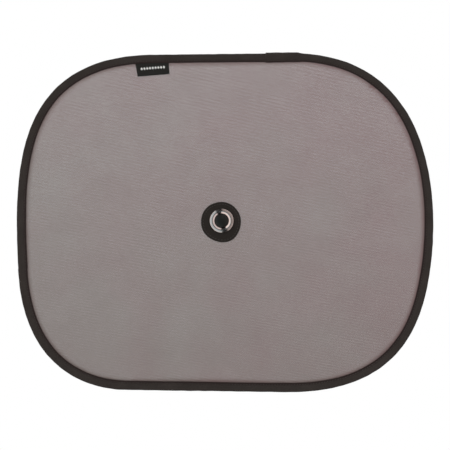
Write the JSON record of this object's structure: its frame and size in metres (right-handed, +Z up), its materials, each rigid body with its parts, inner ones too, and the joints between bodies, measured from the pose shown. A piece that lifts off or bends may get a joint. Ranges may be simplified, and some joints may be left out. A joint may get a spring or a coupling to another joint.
{
  "type": "car side window sunshade",
  "caption": "Dark mesh sunshade for a car side window: knitted panel on a sprung wire hoop in folded binding tape, carried by a suction cup in a metal eyelet.",
  "frame": {"origin": "centre of the suction cup's rim, in the plane where it meets the window glass", "axes": "+X right as seen from inside the car, +Z up, +Y towards the glass"},
  "size_m": [0.4399, 0.0166, 0.3588],
  "materials": {
    "mesh_knit": "fine black-brown knitted mesh, see-through",
    "binding_tape": "woven black-brown tape, matte",
    "spring_wire": "drawn spring steel",
    "ferrule_steel": "crimped steel sleeve",
    "label_weave": "black woven satin, bare",
    "patch_cloth": "black fabric, matte",
    "eyelet_nickel": "bright nickel plate",
    "cup_vinyl": "soft black vinyl, half gloss"
  },
  "bodies": {
    "cup": {"suction_cup": "cup_vinyl"},
    "shade": {"mesh_panel": "mesh_knit", "edge_binding": "binding_tape", "wire_hoop": "spring_wire", "wire_ferrule": "ferrule_steel", "woven_label": "label_weave", "front_patch": "patch_cloth", "back_patch": "patch_cloth", "eyelet_front": "eyelet_nickel", "eyelet_washer": "eyelet_nickel"}
  },
  "joints": [
    {"name": "shade_swivel", "type": "hinge", "parent": "cup", "child": "shade", "pos_m": [0, 0, 0], "axis": [0, 1, 0], "continuous": true}
  ]
}
